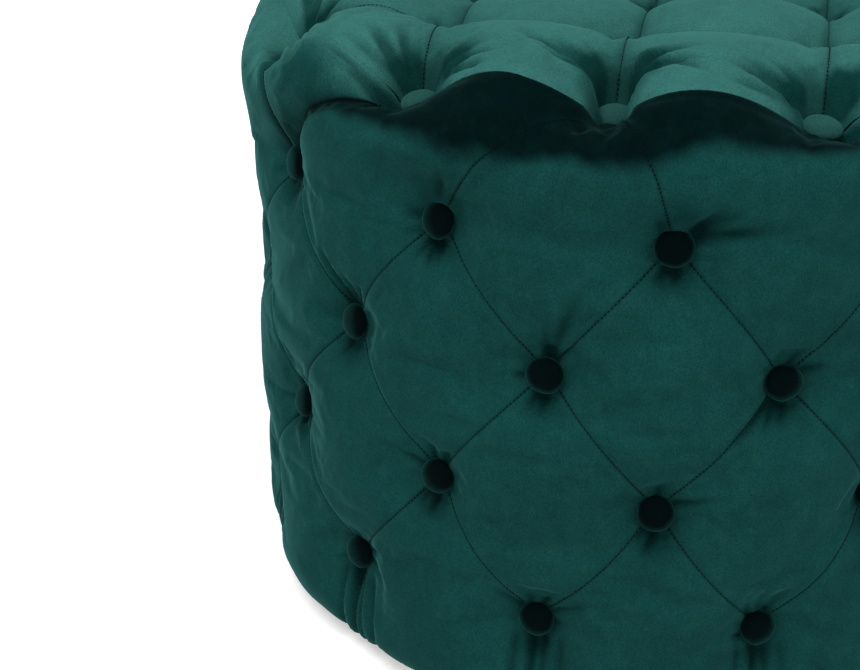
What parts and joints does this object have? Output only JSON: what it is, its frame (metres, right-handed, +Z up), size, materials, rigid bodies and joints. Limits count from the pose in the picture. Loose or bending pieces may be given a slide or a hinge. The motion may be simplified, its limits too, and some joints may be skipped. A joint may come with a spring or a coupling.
{
  "type": "round buttoned footstool",
  "caption": "Round upholstered footstool: a plywood drum padded with foam, under a deep-buttoned velvet cover, on low plastic glides.",
  "frame": {"origin": "on the floor, under the centre of the drum", "axes": "+Z up, -Y towards the front; the square grid of the top buttons lies along X and Y"},
  "size_m": [0.558, 0.558, 0.4306],
  "materials": {
    "velvet_side": "deep green short-pile velvet, dark along the nap",
    "velvet_top": "the same velvet seen across the nap, paler",
    "velvet_button": "the same velvet stretched over a button",
    "foam": "cream polyurethane foam",
    "plywood": "raw birch plywood and battens",
    "hardboard": "raw brown hardboard",
    "steel": "zinc-plated",
    "twine": "waxed buttoning twine",
    "dust_cloth": "black non-woven cloth",
    "glide_plastic": "black moulded plastic"
  },
  "bodies": {
    "root": {"top_cover": "velvet_top", "side_cover": "velvet_side", "bottom_hem": "velvet_side", "top_foam": "foam", "side_foam": "foam", "top_deck": "plywood", "base_board": "plywood", "drum_wall": "hardboard", "upright_1": "plywood", "upright_2": "plywood", "upright_3": "plywood", "upright_4": "plywood", "upright_5": "plywood", "upright_6": "plywood", "deck_screws": "steel", "base_screws": "steel", "wall_nails": "steel", "rim_buttons": "velvet_top", "top_buttons": "velvet_top", "side_buttons_row_1": "velvet_button", "side_buttons_row_2": "velvet_button", "side_buttons_row_3": "velvet_button", "side_buttons_row_4": "velvet_button", "top_button_backs": "steel", "side_button_backs": "steel", "top_ties": "twine", "side_ties": "twine", "top_tie_washers": "steel", "side_tie_washers": "steel", "hem_staples": "steel", "dust_cover": "dust_cloth", "dust_cover_staples": "steel", "glide_1": "glide_plastic", "glide_2": "glide_plastic", "glide_3": "glide_plastic", "glide_4": "glide_plastic", "glide_5": "glide_plastic", "glide_6": "glide_plastic", "glide_screws": "steel"}
  },
  "joints": []
}
